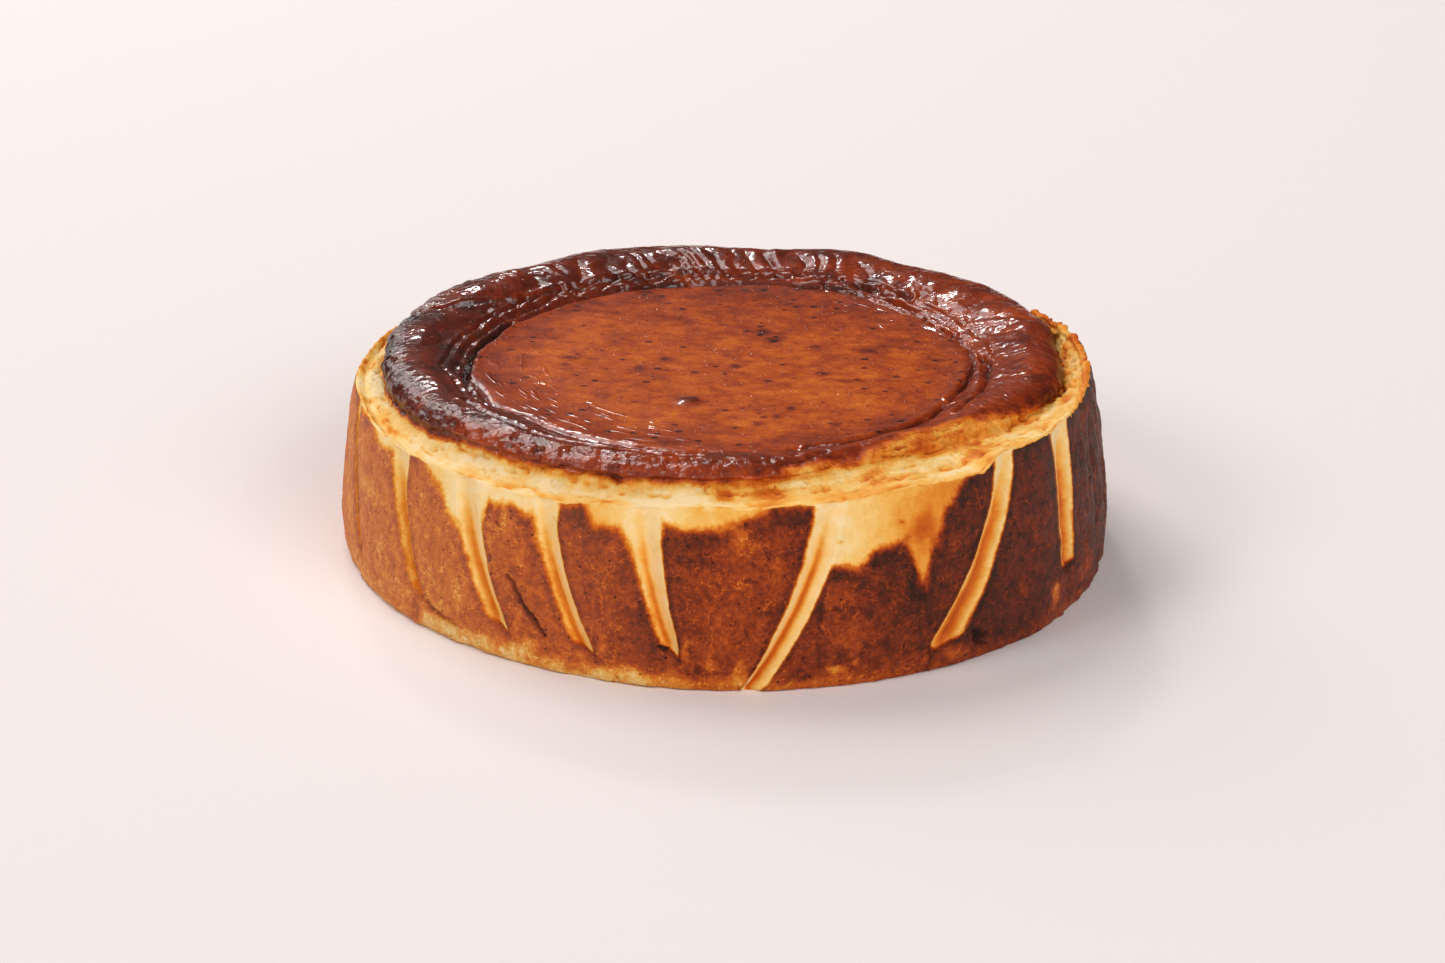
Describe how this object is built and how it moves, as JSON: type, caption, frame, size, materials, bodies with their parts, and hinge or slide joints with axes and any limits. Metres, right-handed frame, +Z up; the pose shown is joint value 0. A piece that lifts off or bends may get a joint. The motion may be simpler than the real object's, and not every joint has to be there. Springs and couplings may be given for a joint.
{
  "type": "basque cheesecake",
  "caption": "Whole round baked cheesecake: puffed burnt ring round a sunken caramel middle, pale ledge, and a browned side with slanting folds pressed by its paper lining.",
  "frame": {"origin": "centre of the bounding box at the flat underside, on the surface the cake stands on", "axes": "+Z up through the top crust; -Y faces the viewer, and +X is the viewer's right"},
  "size_m": [0.2002, 0.205, 0.0517],
  "materials": {
    "crust": "satin"
  },
  "bodies": {
    "root": {"cheesecake": "crust"}
  },
  "joints": []
}
